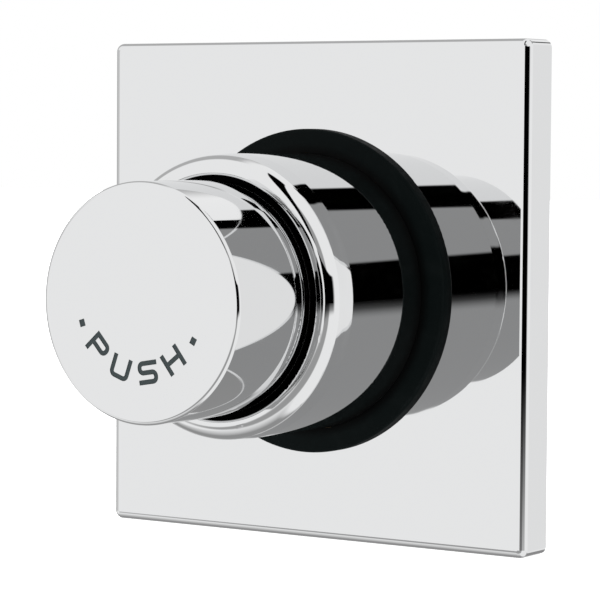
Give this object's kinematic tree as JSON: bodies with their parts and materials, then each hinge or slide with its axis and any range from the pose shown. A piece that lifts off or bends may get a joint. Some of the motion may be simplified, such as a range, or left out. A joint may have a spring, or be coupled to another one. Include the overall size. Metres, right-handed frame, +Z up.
{
  "type": "flush valve",
  "caption": "Concealed self-closing flush valve: square chrome wall plate, round sleeve with rubber ring, push button, brass body with inlet above and outlet below.",
  "frame": {"origin": "point where the valve's axis meets the wall's surface, at the centre of the wall plate's open back", "axes": "-Y out of the wall towards the user, +Y into the wall, +Z up, +X to the right as seen from the front"},
  "size_m": [0.12, 0.1371, 0.12],
  "materials": {
    "chrome_plate": "bright chrome plate on pressed brass",
    "chrome": "bright chrome plate on turned brass",
    "foam": "closed-cell foam",
    "black_rubber": "smooth moulded black rubber",
    "cast_brass": "sand-cast skin with machined faces",
    "brass": "turned",
    "fibre": "pressed fibre",
    "seal_rubber": "moulded",
    "cage_plastic": "moulded acetal",
    "steel": "stainless, turned",
    "spring_steel": "stainless spring wire"
  },
  "bodies": {
    "fixed_valve": {"wall_plate": "chrome_plate", "plate_gasket": "foam", "rubber_ring": "black_rubber", "cover_sleeve": "chrome", "front_ring": "chrome", "valve_body": "cast_brass", "bonnet": "brass", "bonnet_washer": "fibre", "gland_nut": "brass", "stem_seal": "seal_rubber", "valve_cage": "cage_plastic", "cage_o_ring": "seal_rubber", "stop_cap": "brass"},
    "button_group": {"push_button": "chrome", "button_skirt": "chrome", "spring_washer": "steel", "return_spring": "spring_steel", "valve_stem": "steel", "dashpot_piston": "cage_plastic", "piston_cup": "seal_rubber", "piston_clip": "steel", "seal_plate": "steel", "main_seal": "seal_rubber", "seal_cup": "brass", "seal_nut": "brass"},
    "stop_plug_group": {"stop_plug": "brass", "stop_seal": "seal_rubber", "stop_screw": "steel"},
    "stop_spindle_group": {"stop_spindle": "brass", "stop_o_ring": "seal_rubber"}
  },
  "joints": [
    {"name": "button_press", "type": "slide", "parent": "fixed_valve", "child": "button_group", "axis": [0, 1, 0], "range_m": [0, 0.01], "stiffness_N_per_m": 2000, "springref_m": -0.0075, "deforming": ["return_spring"]},
    {"name": "stop_plug_slide", "type": "slide", "parent": "fixed_valve", "child": "stop_plug_group", "axis": [0, 1, 0], "range_m": [0, 0.006]},
    {"name": "stop_spindle_turn", "type": "hinge", "parent": "stop_plug_group", "child": "stop_spindle_group", "pos_m": [0, 0.001, 0.03351], "axis": [0, 1, 0], "range_deg": [0, 1440]}
  ],
  "couplings": [
    {"joint": "stop_spindle_turn", "follows": "stop_plug_slide", "rad_per_m": 4188.8}
  ]
}
